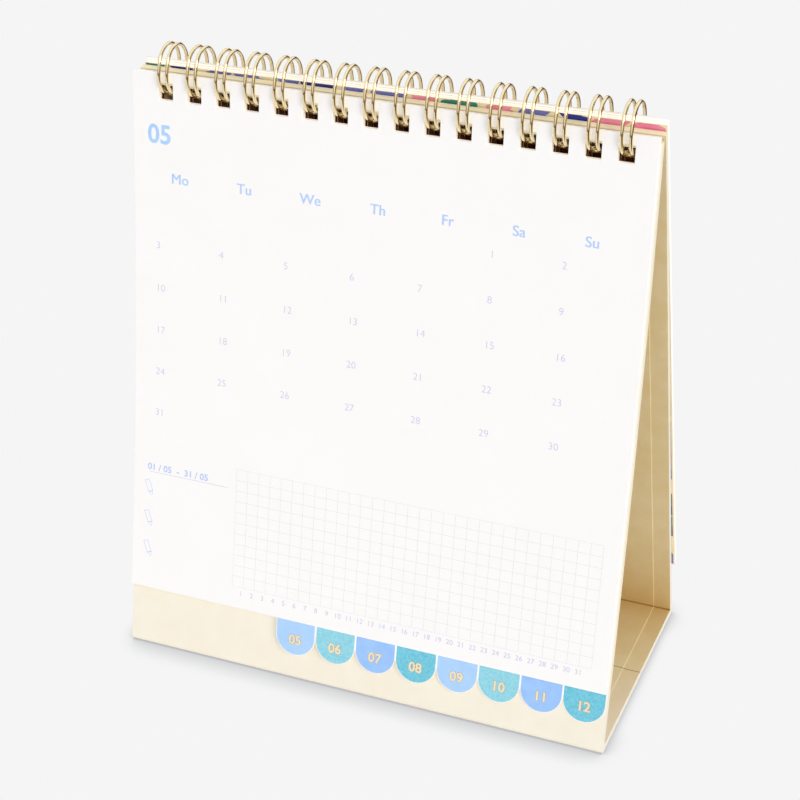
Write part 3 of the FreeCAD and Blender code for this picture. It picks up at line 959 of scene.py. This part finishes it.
def rounded_tip(x):
    """Half a circle from the left loop's end to the right one's, without its ends."""
    onwards = ring_direction(TIP_ANGLE)
    centre = ring_point(x, TIP_ANGLE)
    turns = [math.pi * step / TIP_STEPS for step in range(1, TIP_STEPS)]
    return [centre + Vector((-math.cos(turn) * HALF_PAIR, 0, 0)) +
            onwards * (math.sin(turn) * HALF_PAIR) for turn in turns]


def elbow(x, way):
    """Quarter turn from a loop's foot at x into the bar. way is +1 towards the right."""
    down = -ring_direction(FOOT_ANGLE)
    turns = [math.pi / 2 * step / ELBOW_STEPS for step in range(1, ELBOW_STEPS + 1)]
    return [ring_point(x, FOOT_ANGLE) + Vector((way * ELBOW * (1 - math.cos(turn)), 0, 0)) +
            down * (math.sin(turn) * ELBOW) for turn in turns]


def wire_path():
    points = []
    for pair in range(PAIRS):
        x = ROW_OFFSET + (pair - (PAIRS - 1) / 2) * PAIR_PITCH
        if pair:
            points += reversed(elbow(x - HALF_PAIR, -1))
        points += loop(x - HALF_PAIR)
        points += rounded_tip(x)
        points += reversed(loop(x + HALF_PAIR))
        if pair < PAIRS - 1:
            points += elbow(x + HALF_PAIR, 1)
    return points


# %% Bending the wire
curve = bpy.data.curves.new("wire", "CURVE")
curve.dimensions = "3D"
curve.bevel_depth = WIRE_RADIUS
curve.bevel_resolution = 3
curve.use_fill_caps = True
path = wire_path()
spline = curve.splines.new("POLY")
spline.points.add(len(path) - 1)
for point, place in zip(spline.points, path):
    point.co = (*place, 1)
holder = bpy.data.objects.new("wire", curve)
wire_mesh = bpy.data.meshes.new_from_object(holder)
bpy.data.objects.remove(holder)
shape = bmesh.new()
shape.from_mesh(wire_mesh)
for part in shape.faces:
    part.smooth = True
gold_wire = foil("polished gold-plated wire", "#F6E7BE", 0.12)
keep("wire", shape, gold_wire, "stand", "binding_wire")
print("wire:", len(path), "points on its path")

# %% [markdown]
# ## Floor, light and camera
# The calendar stands on a pale seamless floor. The camera sees the floor at the same even pale
# grey as the room, as in a catalogue, and only the soft contact shadow close to the base is
# kept. The shadow is found by how much of the sky nearby things hide.

# %% Floor and background
PALE = "#F5F5F5"
DARK_CARD = "#6E5530"
FLOOR_WHITE = "#F8F8F8"
SHADOW_GREY = "#B9BABD"
FLOOR_HALF = 6
SHADOW_REACH = 12 * MM


def floor_material():
    """White to the papers, pale and even to the camera, dark on one side in mirrors."""
    material, tree, shader, where = blank("pale studio floor")
    rays = {"camera": add(tree, "ShaderNodeLightPath", output="Is Camera Ray"),
            "glossy": add(tree, "ShaderNodeLightPath", output="Is Glossy Ray")}
    across = add(tree, "ShaderNodeSeparateXYZ", {0: where}, "X")
    card = add(tree, "ShaderNodeMapRange", {"Value": across, "From Min": 0.05, "From Max": 0.2})
    card = add(tree, "ShaderNodeMath", {0: card, 1: rays["glossy"]}, operation="MULTIPLY")
    colour = add(tree, "ShaderNodeMix",
                 {0: card, 6: linear(FLOOR_WHITE), 7: linear(DARK_CARD)}, 2, data_type="RGBA")
    tree.links.new(colour, shader.inputs["Base Color"])
    shader.inputs["Roughness"].default_value = 0.9
    shader.inputs["Specular IOR Level"].default_value = 0.0
    near = add(tree, "ShaderNodeAmbientOcclusion", {"Distance": SHADOW_REACH}, "AO",
               samples=24)
    shade = add(tree, "ShaderNodeMapRange", {"Value": near, "From Min": 0.4, "From Max": 0.92})
    seen = add(tree, "ShaderNodeMix", {0: shade, 6: linear(SHADOW_GREY), 7: linear(PALE)}, 2,
               data_type="RGBA")
    glow = add(tree, "ShaderNodeEmission", {"Color": seen, "Strength": 1.0})
    both = add(tree, "ShaderNodeMixShader", {0: rays["camera"], 1: shader.outputs[0], 2: glow})
    tree.links.new(both, tree.nodes["Material Output"].inputs["Surface"])
    return material


floor_shape = bmesh.new()
bmesh.ops.create_grid(floor_shape, x_segments=1, y_segments=1, size=FLOOR_HALF)
floor_mesh = bpy.data.meshes.new("floor")
floor_shape.to_mesh(floor_mesh)
floor_shape.free()
floor_mesh.materials.append(floor_material())
floor = bpy.data.objects.new("floor", floor_mesh)
bpy.context.scene.collection.objects.link(floor)

# %% [markdown]
# Polished wire is a mirror, and a mirror in an all-white room has no shape, so studios put
# dark card beside such a thing. Here mirror rays see a white room with a dark card on the right
# and a dim band low around it, while the camera and the papers see even pale light. The sun is
# broad and comes from the right, so it also lights the inside of the stand.

# %% Room
world = bpy.data.worlds.new("studio")
world.use_nodes = True
bpy.context.scene.world = world
tree = world.node_tree
MIRROR_WHITE = "#FFFFFF"
ROOM_GREY = "#E2E2E4"
LOW_BAND = (-0.24, -0.1)
CARD_BAND = (-0.6, -0.75)
from_room = add(tree, "ShaderNodeNewGeometry", output="Incoming")
down = add(tree, "ShaderNodeSeparateXYZ", {0: from_room}, "Z")
left = add(tree, "ShaderNodeSeparateXYZ", {0: from_room}, "X")
low = add(tree, "ShaderNodeMapRange",
          {"Value": down, "From Min": LOW_BAND[0], "From Max": LOW_BAND[1]})
card = add(tree, "ShaderNodeMapRange",
           {"Value": left, "From Min": CARD_BAND[0], "From Max": CARD_BAND[1]})
dark = add(tree, "ShaderNodeMath", {0: low, 1: card}, operation="MAXIMUM")
mirrored = add(tree, "ShaderNodeMix",
               {0: dark, 6: linear(MIRROR_WHITE), 7: linear(DARK_CARD)}, 2, data_type="RGBA")
glossy = add(tree, "ShaderNodeLightPath", output="Is Glossy Ray")
room = add(tree, "ShaderNodeMix", {0: glossy, 6: linear(ROOM_GREY), 7: mirrored}, 2,
           data_type="RGBA")
camera_sees = add(tree, "ShaderNodeLightPath", output="Is Camera Ray")
seen = add(tree, "ShaderNodeMix", {0: camera_sees, 6: room, 7: linear(PALE)}, 2,
           data_type="RGBA")
tree.links.new(seen, tree.nodes["Background"].inputs["Color"])
tree.nodes["Background"].inputs["Strength"].default_value = 1.0

# %% Sun
sun = bpy.data.lights.new("sun", "SUN")
SUN_POWER = 1.05
SUN_SPREAD = math.radians(30)
SUN_PLACE = Vector((0.8, -0.65, 0.55))
sun.energy = SUN_POWER
sun.angle = SUN_SPREAD
sun_item = bpy.data.objects.new("sun", sun)
sun_item.location = SUN_PLACE
sun_item.rotation_euler = SUN_PLACE.to_track_quat("Z", "Y").to_euler()
bpy.context.scene.collection.objects.link(sun_item)

# %% Camera
camera_data = bpy.data.cameras.new("camera")
SENSOR_WIDTH = 36
LENS = 85.93
CAMERA_PLACE = (0.18311, -0.42226, 0.34357)
AZIMUTH = math.radians(23.35)
ELEVATION = math.radians(30.02)
ROLL = math.radians(-1.517)
camera_data.sensor_width = SENSOR_WIDTH
camera_data.lens = LENS
camera = bpy.data.objects.new("camera", camera_data)
turn = (Matrix.Rotation(AZIMUTH, 4, "Z") @ Matrix.Rotation(math.pi / 2 - ELEVATION, 4, "X") @
        Matrix.Rotation(ROLL, 4, "Z"))
camera.matrix_world = Matrix.Translation(CAMERA_PLACE) @ turn
bpy.context.scene.collection.objects.link(camera)
bpy.context.scene.camera = camera
bpy.context.scene.view_settings.view_transform = "Standard"
